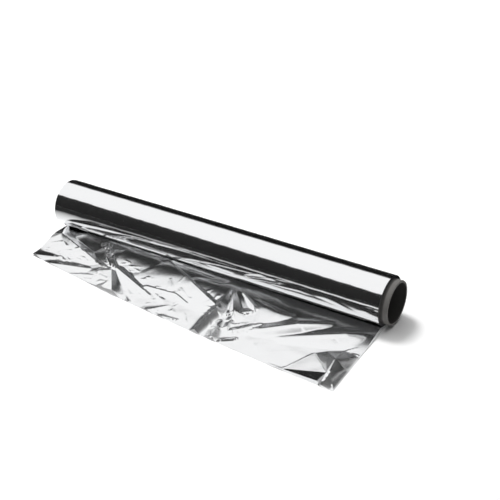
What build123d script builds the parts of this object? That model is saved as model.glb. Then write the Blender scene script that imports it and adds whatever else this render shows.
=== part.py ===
"""Household aluminium foil roll, lying on its side with a crumpled leaf drawn off its underside.

One web of foil is wound on a paperboard core tube. The last stretch of the web leaves the roll at the
bottom, where it meets the table, and lies in front of the roll as a creased leaf.

Frame, in millimetres: the origin is on the roll's axis at the middle of the foil's width. +X runs along
the axis towards the end where the core stands proud, -Y is the way the leaf is drawn, and +Z is up.
"""
from build123d import *
import math
import os

import numpy as np
from scipy.spatial import Delaunay

# Web of foil
FOIL_WIDTH = 304.8
FOIL_GAUGE = 0.024
WOUND_LENGTH = 11430.0

# Core tube
CORE_BORE = 31.75
CORE_WALL = 1.8
CORE_PROUD = 6.2
CORE_EDGE_BREAK = 0.25

# Grooves between packs of turns, seen on the two ends of the wound foil
TURN_GROOVES = 3
TURN_GROOVE_WIDTH = 0.15
TURN_GROOVE_DEPTH = 0.4

# Drawn leaf: its length out from the roll's axis at both edges and the middle, how far its sides draw in,
# how far its torn end stands off to the right, and its modelled thickness
LEAF_LEFT = 61.0
LEAF_MIDDLE = 84.0
LEAF_RIGHT = 98.0
LEAF_DRAWN_IN = 1.5
LEAF_SKEW = 6.5
LEAF_SHEET = 0.35

# Nip, where the leaf leaves the table under the roll: its reach from the axis, the plain strip beside it, the
# gap that the leaf keeps from the roll, and the steepest rise out of the nip
NIP_REACH = 8.0
NIP_STRIP = 3.5
NIP_GAP = 0.5
NIP_RISE = 3.0

# Facets of the leaf: steps along a crease and between filling points, and the least distance between two
# corners. A facet of less than the slice, in square mm and counted twice, is left out of the outline's edge.
CREASE_STEP = 7.0
FACET_STEP = 13.0
FACET_MIN = 2.2
SLICE_MIN = 0.05

# Folds of the leaf. Each is a straight crest with a slope on either side that flares out onto the table.
# Start and end: share of the half width from the middle, then share of the leaf's length from the nip.
# Heights of the crest at start and end are in mm, and the falls left and right of its run in degrees.
FOLD_FLARE = 1.5
LEAF_FOLDS = [
    # Left part: lifted corner, broad slope beside the roll, and creases that meet in a pinch
    ((-0.97, 1.00), (-0.83, 0.76), 2.2, 0.3, 14, 30),
    ((-0.69, 0.99), (-0.55, 0.82), 0.3, 1.4, 15, 25),
    ((-0.95, 0.30), (-0.62, 0.57), 4.0, 1.5, 14, 12),
    ((-0.74, 0.10), (-0.53, 0.56), 1.5, 3.0, 30, 12),
    ((-0.70, 0.14), (-0.51, 0.58), 1.5, 3.2, 30, 12),
    ((-0.65, 0.16), (-0.49, 0.58), 1.5, 3.2, 30, 12),
    ((-0.63, 0.57), (-0.50, 0.65), 2.4, 3.2, 20, 60),
    ((-0.49, 0.67), (-0.36, 1.00), 3.2, 3.2, 26, 16),
    ((-0.48, 0.57), (-0.20, 0.75), 3.2, 0.6, 22, 14),
    ((-0.46, 1.00), (-0.45, 0.90), 1.6, 0.3, 18, 18),
    # Middle part: slope beside the roll, long diagonal and the small creases in front of it
    ((-0.80, 0.07), (0.16, 0.07), 5.0, 5.0, 60, 16),
    ((-0.52, 0.19), (-0.24, 0.16), 4.6, 4.4, 50, 12),
    ((-0.24, 0.16), (0.16, 0.13), 4.4, 3.4, 50, 13),
    ((-0.03, 0.20), (0.17, 0.17), 4.4, 4.4, 50, 16),
    ((-0.25, 0.13), (0.16, 0.51), 5.0, 2.0, 22, 10),
    ((-0.25, 0.64), (-0.17, 0.61), 1.2, 1.3, 20, 20),
    ((-0.17, 0.61), (-0.07, 0.58), 1.3, 1.4, 20, 20),
    ((-0.07, 0.58), (0.02, 0.64), 1.4, 0.8, 20, 20),
    ((-0.04, 1.00), (0.05, 0.93), 1.5, 0.5, 25, 50),
    # Star of creases that spreads from a pinch close to the roll
    ((0.19, 0.22), (0.28, 0.63), 3.4, 4.2, 30, 18),
    ((0.28, 0.63), (0.25, 0.73), 4.2, 3.0, 30, 18),
    ((0.25, 0.73), (0.21, 1.00), 3.0, 2.0, 26, 16),
    ((0.29, 0.53), (0.35, 0.44), 1.8, 2.2, 12, 55),
    ((0.22, 0.18), (0.35, 0.35), 3.2, 3.6, 28, 26),
    ((0.35, 0.35), (0.38, 0.42), 3.6, 0.8, 28, 26),
    ((0.31, 0.76), (0.30, 0.64), 1.4, 1.2, 25, 25),
    ((0.35, 0.78), (0.38, 0.71), 1.8, 1.4, 20, 20),
    ((0.38, 0.71), (0.45, 0.53), 1.4, 1.0, 20, 20),
    ((0.29, 0.98), (0.25, 0.70), 2.6, 1.0, 26, 30),
    ((0.32, 0.98), (0.39, 0.87), 1.2, 1.4, 25, 50),
    # Right part: two long soft folds, and the back of the lifted corner
    ((0.16, 0.07), (0.98, 0.07), 4.6, 4.2, 60, 9),
    ((0.25, 0.17), (0.49, 0.31), 2.6, 2.8, 18, 12),
    ((0.49, 0.31), (0.67, 0.21), 2.8, 1.4, 18, 12),
    ((0.46, 0.64), (0.62, 0.34), 1.4, 4.2, 14, 14),
    ((0.62, 0.34), (0.85, 0.09), 4.2, 2.6, 14, 20),
    ((0.59, 0.60), (0.87, 0.28), 1.2, 3.6, 11, 18),
    ((0.87, 0.28), (0.99, 0.11), 3.6, 3.0, 11, 18),
    ((0.71, 0.98), (0.81, 0.69), 0.3, 4.0, 45, 80),
    ((0.81, 0.69), (0.85, 0.59), 4.0, 2.2, 50, 80),
    ((0.85, 0.59), (0.92, 0.50), 2.2, 2.0, 50, 80),
    ((0.92, 0.50), (1.00, 0.47), 2.0, 0.1, 50, 80),
]

# The lifted right corner is bent up in facets between these points, each given by its share of the half
# width, its share of the leaf's length and its height in mm.
CORNER_POINTS = {
    "front_start": (0.704, 0.980, 0.0),
    "front_foot": (0.896, 0.955, 0.0),
    "peak": (0.935, 0.910, 7.0),
    "crest_start": (0.922, 0.505, 2.0),
    "crest_bend": (0.926, 0.717, 7.0),
    "crest_top": (0.939, 0.850, 7.0),
    "crest_end": (0.905, 0.953, 0.3),
    "edge_front": (1.000, 0.976, 0.0),
    "edge_middle": (1.000, 0.685, 0.0),
    "edge_back": (1.000, 0.468, 0.0),
    "hollow": (0.846, 0.591, 2.2),
    "back": (0.808, 0.688, 4.0),
}
CORNER_FACETS = [
    ("front_start", "front_foot", "peak"),
    ("front_foot", "crest_end", "peak"),
    ("crest_end", "crest_top", "peak"),
    ("crest_end", "edge_front", "crest_top"),
    ("edge_front", "edge_middle", "crest_top"),
    ("edge_middle", "crest_bend", "crest_top"),
    ("edge_middle", "edge_back", "crest_bend"),
    ("edge_back", "crest_start", "crest_bend"),
    ("hollow", "crest_bend", "crest_start"),
    ("hollow", "peak", "crest_bend"),
    ("peak", "crest_top", "crest_bend"),
    ("front_start", "peak", "back"),
    ("back", "peak", "hollow"),
]

# Worked-out sizes
CORE_RADIUS = CORE_BORE / 2 + CORE_WALL
WOUND_RADIUS = math.sqrt(CORE_RADIUS**2 + WOUND_LENGTH * FOIL_GAUGE / math.pi)
TABLE = -WOUND_RADIUS


def make_core_tube():
    """Spiral-wound paperboard tube, flush with the foil at one end and proud of it at the other."""
    section = Circle(CORE_RADIUS) - Circle(CORE_BORE / 2)
    tube = extrude(Plane.YZ.offset(-FOIL_WIDTH / 2) * section, FOIL_WIDTH + CORE_PROUD)
    proud_rim = tube.edges().group_by(Axis.X)[-1].sort_by(SortBy.LENGTH)[-1]
    return chamfer(proud_rim, CORE_EDGE_BREAK)


def make_turns():
    """All the wound turns as one solid, with the flat tongue of foil that leaves them along the table."""
    tongue_top = TABLE + LEAF_SHEET
    tongue_root = -math.sqrt(WOUND_RADIUS**2 - tongue_top**2)
    outline = Wire([
        Edge.make_three_point_arc((0, TABLE), (0, WOUND_RADIUS), (tongue_root, tongue_top)),
        Edge.make_line((tongue_root, tongue_top), (-NIP_REACH, tongue_top)),
        Edge.make_line((-NIP_REACH, tongue_top), (-NIP_REACH, TABLE)),
        Edge.make_line((-NIP_REACH, TABLE), (0, TABLE)),
    ])
    section = Sketch() + Face(outline) - Circle(CORE_RADIUS)
    turns = extrude(Plane.YZ.offset(-FOIL_WIDTH / 2) * section, FOIL_WIDTH)
    pack = (WOUND_RADIUS - CORE_RADIUS) / (TURN_GROOVES + 1)
    for count in range(1, TURN_GROOVES + 1):
        radius = CORE_RADIUS + count * pack
        ring = Circle(radius + TURN_GROOVE_WIDTH / 2) - Circle(radius - TURN_GROOVE_WIDTH / 2)
        for end in (-1, 1):
            mouth = Plane.YZ.offset(end * FOIL_WIDTH / 2)
            turns -= extrude(mouth * ring, -end * TURN_GROOVE_DEPTH)
    return turns


def leaf_length(across):
    """Length of the leaf out from the axis, on a curve through its two edges and its middle."""
    lean = (LEAF_RIGHT - LEAF_LEFT) / 2
    bow = (LEAF_RIGHT + LEAF_LEFT) / 2 - LEAF_MIDDLE
    return LEAF_MIDDLE + lean * across + bow * across**2


def leaf_place(across, out):
    """Plan place, x and y, of a point given by its shares across and out along the leaf."""
    half_width = FOIL_WIDTH / 2 - LEAF_DRAWN_IN * out
    x = across * half_width + LEAF_SKEW * out
    return np.array([x, -NIP_REACH - out * (leaf_length(across) - NIP_REACH)])


def leaf_shares(place):
    """Shares across and out along the leaf of a point given by its plan place."""
    across = place[0] / (FOIL_WIDTH / 2)
    for _ in range(6):
        out = (-place[1] - NIP_REACH) / (leaf_length(across) - NIP_REACH)
        across = (place[0] - LEAF_SKEW * out) / (FOIL_WIDTH / 2 - LEAF_DRAWN_IN * out)
    return across, out


def points_along(start, end):
    """Points from start to end, a crease step apart or a little more or less."""
    steps = max(1, round(math.dist(start, end) / CREASE_STEP))
    return [start + (end - start) * step / steps for step in range(steps + 1)]


class Fold:
    """A straight crest from start to end, with a slope that flares out on its left and on its right."""

    def __init__(self, start, end, start_height, end_height, fall_left, fall_right):
        self.start = leaf_place(*start)
        self.end = leaf_place(*end)
        self.run = self.end - self.start
        self.length = math.hypot(*self.run)
        self.left = np.array([-self.run[1], self.run[0]]) / self.length
        self.heights = (start_height, end_height)
        self.falls = (math.tan(math.radians(fall_left)), math.tan(math.radians(fall_right)))

    def share(self, place):
        return min(max(np.dot(place - self.start, self.run) / self.length**2, 0.0), 1.0)

    def crest(self, share):
        return self.heights[0] + share * (self.heights[1] - self.heights[0])

    def reaches(self, share):
        """How far the slopes on the left and on the right run out from the crest."""
        return [FOLD_FLARE * self.crest(share) / fall for fall in self.falls]

    def height(self, place):
        share = self.share(place)
        away = place - self.start - share * self.run
        reach = self.reaches(share)[0 if np.dot(away, self.left) > 0 else 1]
        return self.crest(share) * max(1 - math.hypot(*away) / reach, 0.0) ** FOLD_FLARE

    def crest_points(self):
        return points_along(self.start, self.end)

    def slope_points(self):
        """Points half way down the two slopes, and where they run out."""
        points = []
        for place in self.crest_points():
            left_reach, right_reach = self.reaches(self.share(place))
            for part in (0.5, 1.0):
                points += [place + part * left_reach * self.left, place - part * right_reach * self.left]
        return points


class Facet:
    """A facet between three named points of the lifted corner, which flares out at the leaf's edge."""

    def __init__(self, names):
        self.places = [leaf_place(*CORNER_POINTS[name][:2]) for name in names]
        self.heights = [CORNER_POINTS[name][2] for name in names]
        self.raised = [not name.startswith("edge") for name in names]

    def height(self, place):
        a, b, c = self.places
        at_b, at_c = np.linalg.solve(np.column_stack([b - a, c - a]), place - a)
        weights = (1 - at_b - at_c, at_b, at_c)
        if min(weights) < -1e-6:
            return 0.0
        return np.dot(weights, self.heights) * max(np.dot(weights, self.raised), 0.0) ** (FOLD_FLARE - 1)

    def crest_points(self):
        a, b, c = self.places
        return points_along(a, b) + points_along(b, c) + points_along(c, a)

    def slope_points(self):
        return []


def leaf_height(place, forms):
    """Height of the leaf's underside over the table: the highest form there, held clear of the roll."""
    height = max(form.height(place) for form in forms)
    if place[1] <= -WOUND_RADIUS:
        return height
    room = WOUND_RADIUS - math.sqrt(WOUND_RADIUS**2 - place[1] ** 2) - NIP_GAP - LEAF_SHEET
    return min(height, max(min(room, NIP_RISE * (-place[1] - NIP_REACH)), 0.0))


def leaf_plan(forms):
    """Corners of the leaf's facets in plan: the outline first, then crests, slopes and filling."""
    across_steps = round(FOIL_WIDTH / CREASE_STEP)
    out_steps = round(LEAF_MIDDLE / CREASE_STEP)
    outline = [leaf_place(a, out) for a in np.linspace(-1, 1, across_steps + 1) for out in (0, 1)]
    outline += [leaf_place(a, out) for a in (-1, 1) for out in np.linspace(0, 1, out_steps + 1)[1:-1]]
    plan = list(outline)

    def add(points):
        for point in points:
            across, out = leaf_shares(point)
            inside = abs(across) < 1 - FACET_MIN / FOIL_WIDTH and out < 1 - FACET_MIN / LEAF_RIGHT
            inside = inside and -point[1] > NIP_REACH + NIP_STRIP
            if inside and min(math.dist(point, other) for other in plan) > FACET_MIN:
                plan.append(point)

    for form in sorted(forms, key=lambda form: -max(form.heights)):
        add(form.crest_points())
    for form in forms:
        add(form.slope_points())
    rows = round(LEAF_RIGHT / FACET_STEP)
    columns = round(FOIL_WIDTH / FACET_STEP)
    for row in range(1, rows):
        shift = 0.5 * (row % 2)
        add([leaf_place(2 * (column + shift) / columns - 1, row / rows) for column in range(columns)])
    return np.array(plan)


def make_leaf():
    """The creased leaf: flat facets between the folds, the same below as above, closed at its edges."""
    forms = [Fold(*fold) for fold in LEAF_FOLDS] + [Facet(names) for names in CORNER_FACETS]
    plan = leaf_plan(forms)
    below = [Vector(*place, TABLE + leaf_height(place, forms)) for place in plan]
    above = [corner + Vector(0, 0, LEAF_SHEET) for corner in below]
    facets = []
    edges = {}
    for a, b, c in Delaunay(plan).simplices:
        sides = plan[b] - plan[a], plan[c] - plan[a]
        turn = sides[0][0] * sides[1][1] - sides[0][1] * sides[1][0]
        if abs(turn) < SLICE_MIN:
            continue
        loop = (a, b, c) if turn > 0 else (a, c, b)
        facets.append(Face(Wire.make_polygon([above[i] for i in loop])))
        facets.append(Face(Wire.make_polygon([below[i] for i in reversed(loop)])))
        for edge in zip(loop, loop[1:] + loop[:1]):
            if edge[::-1] in edges:
                del edges[edge[::-1]]
            else:
                edges[edge] = True
    for a, b in edges:
        facets.append(Face(Wire.make_polygon([below[a], below[b], above[b], above[a]])))
    return Solid(Shell(facets))


def make_foil():
    """The whole web of foil: wound turns, tongue at the nip and creased leaf, in one solid."""
    return make_turns().fuse(make_leaf())


os.makedirs("parts", exist_ok=True)
export_step(make_core_tube(), "parts/core_tube.step")
export_step(make_foil(), "parts/foil.step")
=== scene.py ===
"""A roll of household aluminium foil, lying on its side with a creased leaf drawn off its underside."""
import math

import bpy
import numpy as np
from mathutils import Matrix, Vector
from mathutils.geometry import delaunay_2d_cdt


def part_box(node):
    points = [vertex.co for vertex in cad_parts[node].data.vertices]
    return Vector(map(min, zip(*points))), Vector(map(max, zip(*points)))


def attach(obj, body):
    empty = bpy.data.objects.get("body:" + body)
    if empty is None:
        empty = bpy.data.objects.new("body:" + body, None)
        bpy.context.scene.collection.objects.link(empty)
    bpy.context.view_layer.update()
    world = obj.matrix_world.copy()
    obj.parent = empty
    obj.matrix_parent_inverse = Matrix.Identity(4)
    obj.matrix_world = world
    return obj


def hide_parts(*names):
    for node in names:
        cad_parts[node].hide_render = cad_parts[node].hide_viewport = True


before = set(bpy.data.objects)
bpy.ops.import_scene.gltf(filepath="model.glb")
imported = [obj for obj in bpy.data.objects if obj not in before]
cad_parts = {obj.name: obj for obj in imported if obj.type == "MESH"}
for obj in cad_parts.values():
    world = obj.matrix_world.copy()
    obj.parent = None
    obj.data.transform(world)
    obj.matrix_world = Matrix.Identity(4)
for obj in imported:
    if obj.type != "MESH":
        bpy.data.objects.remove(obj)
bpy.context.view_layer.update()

# Core tube
# A spiral-wound tube of grey chipboard. Strips of board are glued round a mandrel at a slant, so their
# butted edges run along it as a helix.
CORE_LEFT, CORE_RIGHT = (corner.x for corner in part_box("core_tube"))
CORE_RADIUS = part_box("core_tube")[1].z
CORE_BORE_RADIUS = 0.015875
CORE_EDGE_ROUND = 0.0003
CORE_EDGE_MIDDLE = 0.3
CORE_SIDES = 192
# The board is speckled with fibres and clouded. Its bore is painted dark as shade, and painted shade also
# darkens the tube next to the foil's ends, stopping short of the sawn rims.
CHIPBOARD_GREY = (0.19, 0.185, 0.178, 1.0)
CHIPBOARD_DARK = (0.095, 0.091, 0.086, 1.0)
BORE_PAINTED_SHADE = (0.014, 0.013, 0.012, 1.0)
BORE_SHADE_DEPTH = 0.0004
# Painted shade next to the foil's ends: its colour, how far short of the rims it stops, and its fade.
FOIL_END_SHADE_COLOUR = (0.045, 0.043, 0.041, 1.0)
FOIL_END_SHADE_SHORT = 0.0032
FOIL_END_SHADE_FADE = 0.0012
FIBRE_SCALE, FIBRE_DETAIL, FIBRE_SHARE = 1500, 6, 0.5
CLOUD_SCALE, CLOUD_DETAIL, CLOUD_SHARE = 160, 3, 0.6
CLOUD_LEAST = 0.1
BOARD_BUMP, BOARD_BUMP_DEPTH = 0.35, 0.0002
BOARD_ROUGHNESS = 0.82
# Pitch of the strips along the tube, and the seam between them from its dark line to the plain board, as
# shares of the pitch
CORE_STRIP_PITCH = 0.0835
SEAM_DARK, SEAM_END = 0.002, 0.009


def mesh_piece(name, points, faces, materials, sharp_edge=70):
    """A mesh object made of points and faces, shaded smooth except at edges over sharp_edge degrees."""
    mesh = bpy.data.meshes.new(name)
    mesh.from_pydata(points, [], faces)
    mesh.polygons.foreach_set("use_smooth", [True] * len(mesh.polygons))
    for material in materials:
        mesh.materials.append(material)
    mesh.set_sharp_from_angle(angle=math.radians(sharp_edge))
    piece = bpy.data.objects.new(name, mesh)
    bpy.context.scene.collection.objects.link(piece)
    return piece


def turned_piece(name, rows, materials):
    """A closed ring round the X axis. Each row goes once round it, as pairs of x and radius."""
    sides = len(rows[0])
    angles = np.linspace(0, 2 * math.pi, sides, endpoint=False)
    points = [(x, r * math.cos(a), r * math.sin(a)) for row in rows for (x, r), a in zip(row, angles)]
    faces = []
    for row in range(len(rows)):
        next_row = (row + 1) % len(rows)
        for side in range(sides):
            next_side = (side + 1) % sides
            faces.append((row * sides + side, row * sides + next_side,
                          next_row * sides + next_side, next_row * sides + side))
    return mesh_piece(name, points, faces, materials)


def core_profile():
    """Closed section of the tube, x and radius, with its four sawn edges slightly rounded."""
    corners = [(CORE_LEFT, CORE_BORE_RADIUS, 1, 1), (CORE_LEFT, CORE_RADIUS, 1, -1),
               (CORE_RIGHT, CORE_RADIUS, -1, -1), (CORE_RIGHT, CORE_BORE_RADIUS, -1, 1)]
    section = []
    for index, (x, r, inward, outward) in enumerate(corners):
        along = (x + inward * CORE_EDGE_ROUND, r)
        across = (x, r + outward * CORE_EDGE_ROUND)
        middle = (x + inward * CORE_EDGE_MIDDLE * CORE_EDGE_ROUND,
                  r + outward * CORE_EDGE_MIDDLE * CORE_EDGE_ROUND)
        section += [along, middle, across] if index % 2 == 0 else [across, middle, along]
    return section


def new_material(name):
    """A node material, its node tree and its Principled shader."""
    material = bpy.data.materials.new(name)
    material.use_nodes = True
    tree = material.node_tree
    return material, tree, tree.nodes["Principled BSDF"]


def feed(tree, socket, source):
    """Link a socket to another node's output, or set it to a fixed value."""
    if isinstance(source, bpy.types.NodeSocket):
        tree.links.new(source, socket)
    else:
        socket.default_value = source


def math_node(tree, operation, *sources):
    """Output of a Math node that works on other nodes' outputs and on fixed values."""
    node = tree.nodes.new("ShaderNodeMath")
    node.operation = operation
    for socket, source in zip(node.inputs, sources):
        feed(tree, socket, source)
    return node.outputs[0]


def noise_node(tree, places, scale, detail):
    """Output of a Noise Texture at the given places."""
    node = tree.nodes.new("ShaderNodeTexNoise")
    node.inputs["Scale"].default_value = scale
    node.inputs["Detail"].default_value = detail
    tree.links.new(places, node.inputs["Vector"])
    return node.outputs["Fac"]


def range_node(tree, value, low, high, least=0.0):
    """Output of a Map Range node, which goes from least where the value is low to 1 where it is high."""
    node = tree.nodes.new("ShaderNodeMapRange")
    node.inputs["From Min"].default_value = low
    node.inputs["From Max"].default_value = high
    node.inputs["To Min"].default_value = least
    tree.links.new(value, node.inputs["Value"])
    return node.outputs["Result"]


def colour_mix(tree, factor, first, second):
    """Output of a Mix node, which goes from the first colour where the factor is 0 to the second at 1."""
    node = tree.nodes.new("ShaderNodeMix")
    node.data_type = "RGBA"
    for socket, source in (("Factor", factor), ("A", first), ("B", second)):
        feed(tree, node.inputs[socket], source)
    return node.outputs["Result"]


def bump_surface(tree, shader, height, strength, distance):
    """Give a shader a bumped surface from a height."""
    bump = tree.nodes.new("ShaderNodeBump")
    bump.inputs["Strength"].default_value = strength
    bump.inputs["Distance"].default_value = distance
    tree.links.new(height, bump.inputs["Height"])
    tree.links.new(bump.outputs["Normal"], shader.inputs["Normal"])


chipboard, tree, shader = new_material("grey_chipboard")
places = tree.nodes.new("ShaderNodeTexCoord").outputs["Object"]
split = tree.nodes.new("ShaderNodeSeparateXYZ")
tree.links.new(places, split.inputs["Vector"])
turn = math_node(tree, "ARCTAN2", split.outputs["Z"], split.outputs["Y"])
turn_share = math_node(tree, "DIVIDE", turn, 2 * math.pi)
helix = math_node(tree, "MULTIPLY_ADD", split.outputs["X"], 1 / CORE_STRIP_PITCH, turn_share)
from_seam = math_node(tree, "PINGPONG", helix, 0.5)
seam = range_node(tree, from_seam, SEAM_DARK, SEAM_END)
fibre = noise_node(tree, places, FIBRE_SCALE, FIBRE_DETAIL)
cloud = noise_node(tree, places, CLOUD_SCALE, CLOUD_DETAIL)
clouded = math_node(tree, "MULTIPLY_ADD", cloud, CLOUD_SHARE, CLOUD_LEAST)
speckled = math_node(tree, "MULTIPLY_ADD", fibre, FIBRE_SHARE, clouded)
seamed = math_node(tree, "MULTIPLY", speckled, seam)
board = colour_mix(tree, seamed, CHIPBOARD_DARK, CHIPBOARD_GREY)
# Painted shade: the tube is dark under and next to the foil's ends, and pales to the board's colour a
# little short of its sawn rims.
from_middle = math_node(tree, "SUBTRACT", split.outputs["X"], (CORE_LEFT + CORE_RIGHT) / 2)
along_core = math_node(tree, "ABSOLUTE", from_middle)
foil_shade_end = (CORE_RIGHT - CORE_LEFT) / 2 - FOIL_END_SHADE_SHORT
clear_of_foil_shade = range_node(tree, along_core, foil_shade_end - FOIL_END_SHADE_FADE, foil_shade_end)
foil_end_shaded = colour_mix(tree, clear_of_foil_shade, FOIL_END_SHADE_COLOUR, board)
# Painted shade in the bore: its surface, and a thin ring of the sawn ends round it, are darkened.
ring = tree.nodes.new("ShaderNodeVectorMath")
ring.operation = "MULTIPLY"
ring.inputs[1].default_value = (0, 1, 1)
tree.links.new(places, ring.inputs[0])
radius = tree.nodes.new("ShaderNodeVectorMath")
radius.operation = "LENGTH"
tree.links.new(ring.outputs["Vector"], radius.inputs[0])
clear_of_bore_shade = range_node(tree, radius.outputs["Value"], CORE_BORE_RADIUS, CORE_BORE_RADIUS + BORE_SHADE_DEPTH)
bore_shaded = colour_mix(tree, clear_of_bore_shade, BORE_PAINTED_SHADE, foil_end_shaded)
tree.links.new(bore_shaded, shader.inputs["Base Color"])
bump_surface(tree, shader, seamed, BOARD_BUMP, BOARD_BUMP_DEPTH)
shader.inputs["Roughness"].default_value = BOARD_ROUGHNESS

core = turned_piece("core", [[corner] * CORE_SIDES for corner in core_profile()], [chipboard])
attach(core, "root")
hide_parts("core_tube")

# Wound turns
# About a hundred turns of foil lie on each other round the core. The outside is the bright side of the
# foil, with fine lines round it from the mill's rolls, and the slit edges of the turns show at its ends,
# dark partly of their own dull tone and partly with painted shade.
FOIL_WIDTH = 0.3048
WOUND_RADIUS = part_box("foil")[1].z
TABLE = -WOUND_RADIUS
FOIL_COLOUR = (0.90, 0.905, 0.912, 1.0)
SLIT_TONE_AND_SHADE = (0.10, 0.10, 0.102, 1.0)
MILL_LINE_STRETCH = (1.0, 0.02, 0.02)
MILL_LINE_SCALE, MILL_LINE_DETAIL = 4000, 4
DRIFT_SCALE, DRIFT_DETAIL = 90, 3
# At its ends the roll shows packs of turns, each a little short of the full width by chance.
TURN_PACKS = 14
TURN_UNEVEN = 0.00016
PACK_GAP = 0.00004
TURNS_SEED = 11
SKIN_SIDES = 300
SKIN_STEPS = 200
SKIN_WAVE = 0.00003

mill_lines = bpy.data.node_groups.new("mill_lines", "ShaderNodeTree")
for name in ("Lines", "Drift"):
    mill_lines.interface.new_socket(name, in_out="INPUT", socket_type="NodeSocketFloat")
mill_lines.interface.new_socket("Height", in_out="OUTPUT", socket_type="NodeSocketFloat")
inlet = mill_lines.nodes.new("NodeGroupInput")
outlet = mill_lines.nodes.new("NodeGroupOutput")
places = mill_lines.nodes.new("ShaderNodeTexCoord").outputs["Object"]
stretch = mill_lines.nodes.new("ShaderNodeMapping")
stretch.inputs["Scale"].default_value = MILL_LINE_STRETCH
mill_lines.links.new(places, stretch.inputs["Vector"])
lines = noise_node(mill_lines, stretch.outputs["Vector"], MILL_LINE_SCALE, MILL_LINE_DETAIL)
drift = noise_node(mill_lines, places, DRIFT_SCALE, DRIFT_DETAIL)
lines_share = math_node(mill_lines, "MULTIPLY", lines, inlet.outputs["Lines"])
height = math_node(mill_lines, "MULTIPLY_ADD", drift, inlet.outputs["Drift"], lines_share)
mill_lines.links.new(height, outlet.inputs["Height"])


def foil_material(name, roughness, lines, drift, bump_distance, colour=FOIL_COLOUR):
    """One face of the foil: clean metal with mill lines and slight drift in its surface."""
    material, tree, shader = new_material(name)
    shader.inputs["Base Color"].default_value = colour
    shader.inputs["Metallic"].default_value = 1.0
    shader.inputs["Roughness"].default_value = roughness
    group = tree.nodes.new("ShaderNodeGroup")
    group.node_tree = mill_lines
    group.inputs["Lines"].default_value = lines
    group.inputs["Drift"].default_value = drift
    bump_surface(tree, shader, group.outputs["Height"], 1.0, bump_distance)
    return material


def skin_wave(x, turn):
    """Slight slackness of the outer turn, as a change of radius at a place along and round the roll.

    It is a long and a short wave. The figures with x are radians per metre, and those with turn are waves
    round the roll, all uneven so that no pattern shows.
    """
    long_wave = np.sin(x * 210 + 3 * np.sin(turn)) * np.sin(3 * turn + x * 37)
    short_wave = np.sin(x * 523 + 5 * np.sin(2 * turn + 1)) * np.sin(7 * turn - x * 61 + 2)
    return SKIN_WAVE * (long_wave + 0.5 * short_wave)


bright_side = foil_material("foil_bright_side", roughness=0.10, lines=0.02, drift=0.3, bump_distance=0.0002)
# The slit edges' dark colour is partly their own tone and partly painted shade.
slit_edge_shaded = foil_material("foil_slit_edge", roughness=0.45, lines=0.4, drift=0.3, bump_distance=0.0002,
                          colour=SLIT_TONE_AND_SHADE)

turns_rng = np.random.default_rng(TURNS_SEED)
stations = np.linspace(-FOIL_WIDTH / 2, FOIL_WIDTH / 2, SKIN_STEPS + 1)
angles = np.linspace(0, 2 * math.pi, SKIN_SIDES, endpoint=False)
rows = [[(x, WOUND_RADIUS + skin_wave(x, a)) for a in angles] for x in stations]
pack_radii = np.linspace(WOUND_RADIUS, CORE_RADIUS, TURN_PACKS + 1)
for end in (1, -1):
    shifts = turns_rng.uniform(0, TURN_UNEVEN, TURN_PACKS)
    face = []
    for pack in range(TURN_PACKS):
        x = end * (FOIL_WIDTH / 2 - shifts[pack])
        face.append([(x, pack_radii[pack] - PACK_GAP / 2)] * SKIN_SIDES)
        face.append([(x, pack_radii[pack + 1] + PACK_GAP / 2)] * SKIN_SIDES)
    rows = rows + face if end == 1 else face[::-1] + rows
turns = turned_piece("foil_turns", rows, [bright_side, slit_edge_shaded])
end_rows = 2 * TURN_PACKS
slots = []
for row in range(len(rows)):
    on_skin = end_rows <= row < end_rows + SKIN_STEPS
    slots += [0 if on_skin else 1] * SKIN_SIDES
turns.data.polygons.foreach_set("material_index", slots)
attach(turns, "root")
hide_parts("foil")

# Drawn leaf
# The last stretch of the web, drawn off at the table and let fall back. Its upper face is the satin side
# of the foil. It was torn off at a slant, and handling has creased it from two pinches near the roll.
LEAF_LEFT, LEAF_MIDDLE, LEAF_RIGHT = 0.061, 0.084, 0.098
LEAF_DRAWN_IN = 0.0015
LEAF_SKEW = 0.0065
LEAF_SHEET = 0.00006
LEAF_SHARP_EDGE = 26
# The sheet lies flat as far out as the nip reaches. Beyond it the sheet can rise up to NIP_RISE times as
# much as it goes out, and it keeps the gap below the turns.
NIP_REACH = 0.008
NIP_GAP = 0.0004
NIP_RISE = 3.0
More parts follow.
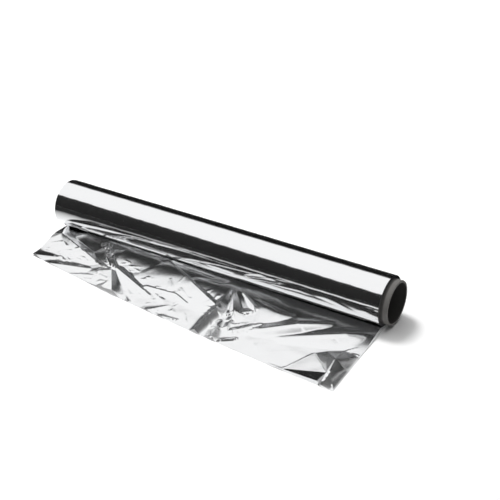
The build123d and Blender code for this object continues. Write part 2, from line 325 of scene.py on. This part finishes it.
# Each fold is a straight crest. Start and end: share of the half width, share of the leaf's length. Then
# the heights of the crest at its start and end in metres, and the falls left and right of it in degrees.
# A soft fold has one value more, the distance in metres over which its crest is rounded.
FOLD_FLARE = 1.5
SOFT_CREST = 0.004
LEAF_FOLDS = [
    # Left part: lifted corner, broad slope beside the roll, and creases that meet in a pinch
    ((-0.97, 1.00), (-0.83, 0.76), 0.0022, 0.0003, 14, 30),
    ((-0.86, 1.00), (-0.64, 0.77), 0.0007, 0.0009, 8, 10),
    ((-0.69, 0.99), (-0.55, 0.82), 0.0003, 0.0014, 15, 25),
    ((-0.95, 0.30), (-0.62, 0.57), 0.0040, 0.0015, 14, 12),
    ((-0.74, 0.10), (-0.53, 0.56), 0.0015, 0.0030, 30, 12),
    ((-0.70, 0.14), (-0.51, 0.58), 0.0015, 0.0032, 30, 12),
    ((-0.65, 0.16), (-0.49, 0.58), 0.0015, 0.0032, 30, 12),
    ((-0.63, 0.57), (-0.50, 0.65), 0.0024, 0.0032, 20, 60),
    ((-0.488, 0.663), (-0.380, 1.000), 0.0046, 0.0044, 35, 16),
    ((-0.48, 0.57), (-0.20, 0.75), 0.0032, 0.0006, 22, 14),
    ((-0.27, 1.00), (-0.30, 0.93), 0.0010, 0.0002, 25, 25),
    # Middle part: slope beside the roll, long diagonal and the small creases in front of it
    ((-0.80, 0.07), (0.16, 0.07), 0.0050, 0.0050, 60, 16),
    ((-0.52, 0.19), (-0.24, 0.16), 0.0046, 0.0044, 50, 12),
    ((-0.24, 0.16), (0.16, 0.13), 0.0044, 0.0034, 50, 13),
    ((-0.03, 0.20), (0.17, 0.17), 0.0030, 0.0030, 50, 9, SOFT_CREST),
    ((-0.25, 0.13), (0.16, 0.51), 0.0050, 0.0020, 22, 10),
    ((-0.25, 0.64), (-0.17, 0.61), 0.0012, 0.0013, 20, 20),
    ((-0.17, 0.61), (-0.07, 0.58), 0.0013, 0.0014, 20, 20),
    ((-0.07, 0.58), (0.02, 0.64), 0.0014, 0.0008, 20, 20),
    ((-0.20, 0.58), (-0.10, 0.43), 0.0010, 0.0003, 16, 16),
    ((-0.13, 1.00), (-0.06, 0.79), 0.0012, 0.0003, 12, 12),
    ((-0.04, 1.00), (0.05, 0.93), 0.0015, 0.0005, 25, 50),
    # Star of creases that spreads from a pinch close to the roll
    ((0.178, 0.190), (0.192, 0.600), 0.0032, 0.0042, 34, 32),
    ((0.192, 0.600), (0.186, 1.000), 0.0042, 0.0030, 38, 36),
    ((0.195, 0.240), (0.275, 0.520), 0.0036, 0.0034, 22, 50),
    ((0.29, 0.53), (0.35, 0.44), 0.0018, 0.0022, 12, 55),
    ((0.22, 0.18), (0.35, 0.35), 0.0032, 0.0036, 28, 44),
    ((0.35, 0.35), (0.38, 0.42), 0.0036, 0.0008, 28, 44),
    ((0.29, 0.64), (0.29, 0.52), 0.0012, 0.0012, 25, 25),
    ((0.31, 0.76), (0.30, 0.64), 0.0014, 0.0012, 25, 25),
    ((0.34, 0.84), (0.31, 0.75), 0.0008, 0.0010, 25, 25),
    ((0.35, 0.78), (0.38, 0.71), 0.0018, 0.0014, 20, 20),
    ((0.38, 0.71), (0.45, 0.53), 0.0014, 0.0010, 20, 20),
    ((0.29, 0.98), (0.25, 0.70), 0.0026, 0.0010, 26, 30),
    ((0.32, 0.98), (0.39, 0.87), 0.0012, 0.0014, 25, 50),
    # Right part: slope beside the roll, long soft folds, and the back of the lifted corner
    ((0.16, 0.07), (0.98, 0.07), 0.0046, 0.0042, 60, 9),
    ((0.25, 0.17), (0.49, 0.31), 0.0026, 0.0028, 18, 12, SOFT_CREST),
    ((0.49, 0.31), (0.67, 0.21), 0.0028, 0.0014, 18, 12, SOFT_CREST),
    ((0.46, 0.64), (0.63, 0.38), 0.0014, 0.0036, 14, 24, SOFT_CREST),
    ((0.63, 0.38), (0.85, 0.09), 0.0036, 0.0026, 14, 26, SOFT_CREST),
    ((0.60, 0.61), (0.87, 0.28), 0.0009, 0.0036, 11, 18, SOFT_CREST),
    ((0.87, 0.28), (0.99, 0.11), 0.0036, 0.0030, 11, 18, SOFT_CREST),
    ((0.92, 0.47), (1.00, 0.31), 0.0005, 0.0009, 16, 20),
    ((0.63, 0.99), (0.71, 0.99), 0.0002, 0.0005, 14, 10),
    ((0.71, 0.98), (0.81, 0.69), 0.0003, 0.0040, 45, 80),
    ((0.81, 0.69), (0.85, 0.59), 0.0040, 0.0022, 50, 80),
    ((0.85, 0.59), (0.92, 0.50), 0.0022, 0.0020, 50, 80),
    ((0.92, 0.50), (1.00, 0.47), 0.0020, 0.0001, 50, 80),
]
# Lesser creases that stand on the folds, given like them: four that run together in the left pinch, and one
# at the torn edge beside it.
LESSER_CREASES = [
    ((-0.711, 0.143), (-0.516, 0.573), 0.0008, 0.0013, 50, 55),
    ((-0.676, 0.168), (-0.505, 0.571), 0.0008, 0.0013, 50, 55),
    ((-0.653, 0.163), (-0.498, 0.573), 0.0008, 0.0013, 50, 55),
    ((-0.627, 0.170), (-0.489, 0.573), 0.0008, 0.0013, 50, 55),
    ((-0.456, 1.000), (-0.449, 0.920), 0.0014, 0.0008, 16, 36),
]
# The lifted right corner is bent up in facets between these points. Each point has its share of the half
# width, its share of the leaf's length and its height in metres.
CORNER_POINTS = {
    "front_start": (0.704, 0.980, 0.0000),
    "front_foot": (0.896, 0.955, 0.0000),
    "peak": (0.935, 0.910, 0.0070),
    "crest_start": (0.922, 0.505, 0.0020),
    "crest_bend": (0.926, 0.717, 0.0070),
    "crest_top": (0.939, 0.850, 0.0070),
    "crest_end": (0.925, 1.000, 0.0015),
    "edge_front": (1.000, 1.000, 0.0000),
    "edge_middle": (1.000, 0.685, 0.0000),
    "edge_back": (1.000, 0.468, 0.0000),
    "hollow": (0.846, 0.591, 0.0022),
    "back": (0.808, 0.688, 0.0040),
}
CORNER_FACETS = [
    ("front_start", "front_foot", "peak"), ("front_foot", "crest_end", "peak"),
    ("crest_end", "crest_top", "peak"), ("crest_end", "edge_front", "crest_top"),
    ("edge_front", "edge_middle", "crest_top"), ("edge_middle", "crest_bend", "crest_top"),
    ("edge_middle", "edge_back", "crest_bend"), ("edge_back", "crest_start", "crest_bend"),
    ("hollow", "crest_bend", "crest_start"), ("hollow", "peak", "crest_bend"),
    ("peak", "crest_top", "crest_bend"), ("front_start", "peak", "back"), ("back", "peak", "hollow"),
]
# Small creases lie about by chance, in the same shares, metres and degrees. They are higher in the crinkled
# front middle. On the smooth right they start only near the roll, and at the wedge's foot none starts.
FINE_SEED = 23
FINE_CREASES = 150
FINE_START_ACROSS, FINE_START_OUT = (-0.98, 0.98), (0.35, 0.98)
FINE_RUN_ACROSS, FINE_RUN_OUT = 0.045, 0.08
FINE_END_ACROSS, FINE_END_OUT = (-0.99, 0.99), (0.2, 0.995)
FINE_RISE, FINE_END_RISE = (0.0001, 0.0004), 0.3
FINE_FALL = (7, 16)
CRINKLED_LEFT, CRINKLED_RIGHT, CRINKLED_FROM = -0.5, 0.3, 0.5
CRINKLED_GAIN = 1.6
SMOOTH_LEFT, SMOOTH_FROM = 0.52, 0.4
WEDGE_LEFT, WEDGE_RIGHT, WEDGE_FROM = -0.40, -0.34, 0.9
# They and the swell begin this far out from the axis, and have their full height after as much again.
FINE_BEGIN = 0.012
SWELL = 0.0001
# The mesh has points along the outline and the crests, and a grid of filling points clear of the crests.
LEAF_STEP = 0.001
FILL_ACROSS, FILL_OUT = (-0.995, 0.995), (0.012, 0.992)
CREST_CLEAR = 0.0005
SAME_POINT = 1e-6
FACET_EDGE = 1e-6
INSIDE_OUTLINE = 1

leaf_rng = np.random.default_rng(FINE_SEED)
fine_creases = list(LESSER_CREASES)
for _ in range(FINE_CREASES):
    start = (leaf_rng.uniform(*FINE_START_ACROSS), leaf_rng.uniform(*FINE_START_OUT))
    end = (start[0] + leaf_rng.normal(0, FINE_RUN_ACROSS), start[1] + leaf_rng.normal(0, FINE_RUN_OUT))
    end = (np.clip(end[0], *FINE_END_ACROSS), np.clip(end[1], *FINE_END_OUT))
    rise = leaf_rng.uniform(*FINE_RISE)
    if CRINKLED_LEFT < start[0] < CRINKLED_RIGHT and start[1] > CRINKLED_FROM:
        rise *= CRINKLED_GAIN
    falls = leaf_rng.uniform(*FINE_FALL, 2)
    on_smooth_right = start[0] >= SMOOTH_LEFT and start[1] >= SMOOTH_FROM
    on_wedge_foot = WEDGE_LEFT < start[0] < WEDGE_RIGHT and start[1] > WEDGE_FROM
    if not on_smooth_right and not on_wedge_foot:
        fine_creases.append((start, end, rise, FINE_END_RISE * rise, falls[0], falls[1]))


def leaf_length(across):
    """Length of the leaf out from the axis, on a curve through its two edges and its middle."""
    lean = (LEAF_RIGHT - LEAF_LEFT) / 2
    bow = (LEAF_RIGHT + LEAF_LEFT) / 2 - LEAF_MIDDLE
    return LEAF_MIDDLE + lean * across + bow * across**2


def leaf_place(across, out):
    """Plan place, x and y, of a point given by its shares across and out along the leaf."""
    half_width = FOIL_WIDTH / 2 - LEAF_DRAWN_IN * out
    return (across * half_width + LEAF_SKEW * out,
            -NIP_REACH - out * (leaf_length(across) - NIP_REACH))


def fold_height(x, y, start, end, start_height, end_height, fall_left, fall_right, round_over=0.0):
    """Height of one fold over the table, at places given in plan. The crest can be rounded over."""
    start_x, start_y = leaf_place(*start)
    end_x, end_y = leaf_place(*end)
    run_x, run_y = end_x - start_x, end_y - start_y
    along = ((x - start_x) * run_x + (y - start_y) * run_y) / (run_x**2 + run_y**2)
    along = np.clip(along, 0, 1)
    off_x, off_y = x - start_x - along * run_x, y - start_y - along * run_y
    on_left = (x - start_x) * -run_y + (y - start_y) * run_x > 0
    fall = np.where(on_left, math.tan(math.radians(fall_left)), math.tan(math.radians(fall_right)))
    crest = start_height + along * (end_height - start_height)
    reach = FOLD_FLARE * crest / fall
    off = np.hypot(np.hypot(off_x, off_y), round_over) - round_over
    return crest * np.maximum(1 - off / reach, 0) ** FOLD_FLARE


def facet_height(x, y, corners):
    """Height of one facet over the table inside its three corners, and nothing outside them.

    It is flat, but a facet that has corners on the leaf's right edge flares out towards them.
    """
    (ax, ay), (bx, by), (cx, cy) = (leaf_place(*CORNER_POINTS[corner][:2]) for corner in corners)
    heights = [CORNER_POINTS[corner][2] for corner in corners]
    twice_area = (bx - ax) * (cy - ay) - (cx - ax) * (by - ay)
    at_b = ((x - ax) * (cy - ay) - (cx - ax) * (y - ay)) / twice_area
    at_c = ((bx - ax) * (y - ay) - (x - ax) * (by - ay)) / twice_area
    at_a = 1 - at_b - at_c
    inside = np.minimum(np.minimum(at_a, at_b), at_c) > -FACET_EDGE
    height = at_a * heights[0] + at_b * heights[1] + at_c * heights[2]
    raised = sum(at for at, name in zip((at_a, at_b, at_c), corners) if not name.startswith("edge"))
    return np.where(inside, height * np.clip(raised, 0, 1) ** (FOLD_FLARE - 1), 0)


def leaf_swell(x, y):
    """Slow swell of the sheet, from none up, in waves of uneven figures, which are radians per metre."""
    swell = np.sin(190 * x + 2 * np.sin(90 * y)) * np.sin(230 * y - 70 * x) + 1
    swell += 0.5 * (np.sin(430 * x - 150 * y + 3 * np.sin(80 * x)) * np.sin(310 * y + 120 * x) + 1)
    return SWELL / 2 * swell


def leaf_height(x, y):
    """Height of the leaf over the table: the highest fold or facet there, held down under the roll."""
    height = np.zeros_like(x)
    for fold in LEAF_FOLDS:
        height = np.maximum(height, fold_height(x, y, *fold))
    for corners in CORNER_FACETS:
        height = np.maximum(height, facet_height(x, y, corners))
    fine = np.zeros_like(x)
    for fold in fine_creases:
        fine = np.maximum(fine, fold_height(x, y, *fold))
    clear_of_nip = np.clip((-y - FINE_BEGIN) / FINE_BEGIN, 0, 1)
    height = height + clear_of_nip * (fine + leaf_swell(x, y))
    room = WOUND_RADIUS - np.sqrt(np.maximum(WOUND_RADIUS**2 - y**2, 0)) - NIP_GAP
    held = np.minimum(height, np.maximum(np.minimum(room, NIP_RISE * (-y - NIP_REACH)), 0))
    return np.where(y < -WOUND_RADIUS, height, held)


left_edge = [leaf_place(-1, out) for out in np.arange(0, 1, LEAF_STEP / LEAF_LEFT)]
torn_edge = [leaf_place(across, 1) for across in np.arange(-1, 1, 2 * LEAF_STEP / FOIL_WIDTH)]
right_edge = [leaf_place(1, out) for out in np.arange(1, 0, -LEAF_STEP / LEAF_RIGHT)]
outline = [(-FOIL_WIDTH / 2, 0.0)] + left_edge + torn_edge + right_edge + [(FOIL_WIDTH / 2, 0.0)]
plan = list(outline)
plan_edges = [(i, (i + 1) % len(outline)) for i in range(len(outline))]
across, out = np.meshgrid(np.arange(*FILL_ACROSS, 2 * LEAF_STEP / FOIL_WIDTH),
                          np.arange(*FILL_OUT, LEAF_STEP / LEAF_MIDDLE))
across = across + LEAF_STEP / FOIL_WIDTH * (np.arange(len(out)) % 2)[:, None]
filling = np.stack(leaf_place(across.ravel(), out.ravel()), axis=-1)
clear = np.ones(len(filling), dtype=bool)
ridges = [fold[:2] for fold in LEAF_FOLDS + fine_creases]
for corners in CORNER_FACETS:
    ends = [CORNER_POINTS[corner][:2] for corner in corners]
    ridges += zip(ends, ends[1:] + ends[:1])
for start, end in ridges:
    crest_start, crest_end = np.array(leaf_place(*start)), np.array(leaf_place(*end))
    run = crest_end - crest_start
    steps = max(1, round(math.hypot(*run) / LEAF_STEP))
    for step in range(steps + 1):
        if step:
            plan_edges.append((len(plan) - 1, len(plan)))
        plan.append(crest_start + run * step / steps)
    along = np.clip((filling - crest_start) @ run / (run @ run), 0, 1)
    clear &= np.linalg.norm(filling - crest_start - along[:, None] * run, axis=1) > CREST_CLEAR
plan += list(filling[clear])
plan = [Vector(point) for point in plan]
plan, _, facets, _, _, _ = delaunay_2d_cdt(plan, plan_edges, [], INSIDE_OUTLINE, SAME_POINT, False)
plan = np.array([tuple(point) for point in plan])
lift = leaf_height(plan[:, 0], plan[:, 1])
top = np.column_stack([plan, TABLE + lift + LEAF_SHEET])
under = np.column_stack([plan, TABLE + lift])
count = len(plan)
faces = []
# Edges that only one facet has, which are the leaf's rim
rim = {}
for facet in facets:
    faces.append(tuple(facet))
    faces.append(tuple(count + corner for corner in reversed(facet)))
    for edge in zip(facet, facet[1:] + facet[:1]):
        if edge[::-1] in rim:
            del rim[edge[::-1]]
        else:
            rim[edge] = True
slots = [0, 1] * len(facets) + [0] * len(rim)
for a, b in rim:
    faces.append((a, count + a, count + b, b))

satin_side = foil_material("foil_satin_side", roughness=0.17, lines=0.02, drift=0.3, bump_distance=0.0003)
leaf = mesh_piece("foil_leaf", np.concatenate([top, under]).tolist(), faces, [satin_side, bright_side],
                  LEAF_SHARP_EDGE)
leaf.data.polygons.foreach_set("material_index", slots)
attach(leaf, "root")
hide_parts("foil")

# Studio
# A pale table, a large softbox overhead with a smaller lamp beside it, and black cards that the foil
# mirrors, which the camera doesn't see and which glow to white at their far edges.
FLOOR_SIZE = 6.0
FLOOR_COLOUR = (0.95, 0.95, 0.95, 1.0)
CARD_BLACK = (0.02, 0.02, 0.02, 1.0)
SKY_FILL = 0.12
# The table and the cards on it lie this little below the leaf, so that no two faces lie in one plane.
FLOOR_DROP = 0.00003
CARD_DROP = 0.00001


def flat_card(name, centre, width, height, turns, material):
    """A flat card, turned about X, Y and then Z, that is no part of the object."""
    corners = [(-width / 2, -height / 2, 0), (width / 2, -height / 2, 0),
               (width / 2, height / 2, 0), (-width / 2, height / 2, 0)]
    card = mesh_piece(name, corners, [(0, 1, 2, 3)], [material])
    card.location = centre
    card.rotation_euler = [math.radians(turn) for turn in turns]
    return card


table_paint, tree, shader = new_material("pale_table")
shader.inputs["Base Color"].default_value = FLOOR_COLOUR
shader.inputs["Roughness"].default_value = 0.9
shader.inputs["Specular IOR Level"].default_value = 0.1
flat_card("table", (0, 0, TABLE - FLOOR_DROP), FLOOR_SIZE, FLOOR_SIZE, (0, 0, 0), table_paint)


def black_card(name, centre, width, height, turns, fade, tone=0.0):
    """A card that only reflections see. Its colour is emitted: over the fade at its far edge it glows from
    its tone up to white.
    """
    cloth, tree, shader = new_material(name + "_cloth")
    shader.inputs["Base Color"].default_value = CARD_BLACK
    shader.inputs["Roughness"].default_value = 1.0
    shader.inputs["Specular IOR Level"].default_value = 0.0
    shader.inputs["Emission Strength"].default_value = 1.0
    places = tree.nodes.new("ShaderNodeTexCoord").outputs["Object"]
    split = tree.nodes.new("ShaderNodeSeparateXYZ")
    tree.links.new(places, split.inputs["Vector"])
    edge_glow = range_node(tree, split.outputs["Y"], height / 2 - fade, height / 2, tone)
    tree.links.new(edge_glow, shader.inputs["Emission Color"])
    card = flat_card(name, centre, width, height, turns, cloth)
    card.visible_camera = False
    card.visible_diffuse = False
    card.visible_transmission = False
    card.visible_shadow = False


black_card("front_card", (-0.55, -1.0, 0.58), 2.4, 1.36, (90, 0, -15), fade=0.12)
black_card("front_table_card", (-0.41, -0.465, TABLE - CARD_DROP), 1.8, 1.0, (0, 0, -17.6), fade=0.06)
black_card("back_card", (-1.25, 1.5, 0.52), 2.3, 1.08, (90, 0, 0), fade=0.36)
black_card("left_card", (-2.4, 0.2, 0.47), 2.6, 0.98, (90, 0, 90), fade=0.2)
black_card("right_card", (0.6, 1.0, 0.7), 1.4, 1.4, (90, -90, 0), fade=0.5, tone=0.1)
black_card("right_top_card", (0.515, -0.1, 1.4), 1.2, 1.67, (0, 0, 90), fade=0.3, tone=0.1)
black_card("near_bar", (-0.02, 0.030, TABLE + 0.0575), 0.5, 0.027, (90, 0, 0), fade=0.009)
black_card("back_table_card", (-0.65, 0.755, TABLE - CARD_DROP), 2.5, 1.49, (0, 0, 0), fade=0.2)

# The world is white to the camera and in the foil, and only a faint fill on everything else.
world = bpy.data.worlds.new("studio")
bpy.context.scene.world = world
world.use_nodes = True
tree = world.node_tree
background = tree.nodes["Background"]
background.inputs["Color"].default_value = (1.0, 1.0, 1.0, 1.0)
path = tree.nodes.new("ShaderNodeLightPath")
seen = math_node(tree, "MAXIMUM", path.outputs["Is Camera Ray"], path.outputs["Is Glossy Ray"])
seen = math_node(tree, "MAXIMUM", seen, path.outputs["Is Transmission Ray"])
strength = range_node(tree, seen, 0.0, 1.0, SKY_FILL)
tree.links.new(strength, background.inputs["Strength"])


def softbox(name, centre, size, power, aim):
    """A square lamp at centre, facing its aim. The camera and reflections don't see it."""
    lamp = bpy.data.lights.new(name, "AREA")
    lamp.shape = "RECTANGLE"
    lamp.size = size
    lamp.size_y = size
    lamp.energy = power
    holder = bpy.data.objects.new(name, lamp)
    holder.location = centre
    direction = Vector(aim) - Vector(centre)
    holder.rotation_euler = direction.to_track_quat("-Z", "Y").to_euler()
    holder.visible_camera = False
    holder.visible_glossy = False
    bpy.context.scene.collection.objects.link(holder)


softbox("overhead_softbox", (-0.5, 0.2, 2.0), size=3.0, power=38, aim=(-0.5, 0.2, 0))
softbox("key_lamp", (-0.65, 0.25, 1.6), size=0.5, power=22, aim=(0, 0, 0))

# Camera
# It stands in front of the roll and to its right, looking down on it, as the photograph was taken.
CAMERA_PLACE = (0.4613, -0.7061, 0.4832)
CAMERA_AZIMUTH = 31.43
CAMERA_ELEVATION = 29.91
CAMERA_LENS = 86.82
CAMERA_SENSOR = 36.0
lens = bpy.data.cameras.new("camera")
lens.lens = CAMERA_LENS
lens.sensor_width = CAMERA_SENSOR
camera = bpy.data.objects.new("camera", lens)
camera.location = CAMERA_PLACE
camera.rotation_euler = (math.radians(90 - CAMERA_ELEVATION), 0, math.radians(CAMERA_AZIMUTH))
bpy.context.scene.collection.objects.link(camera)
bpy.context.scene.camera = camera
bpy.context.scene.view_settings.view_transform = "Standard"
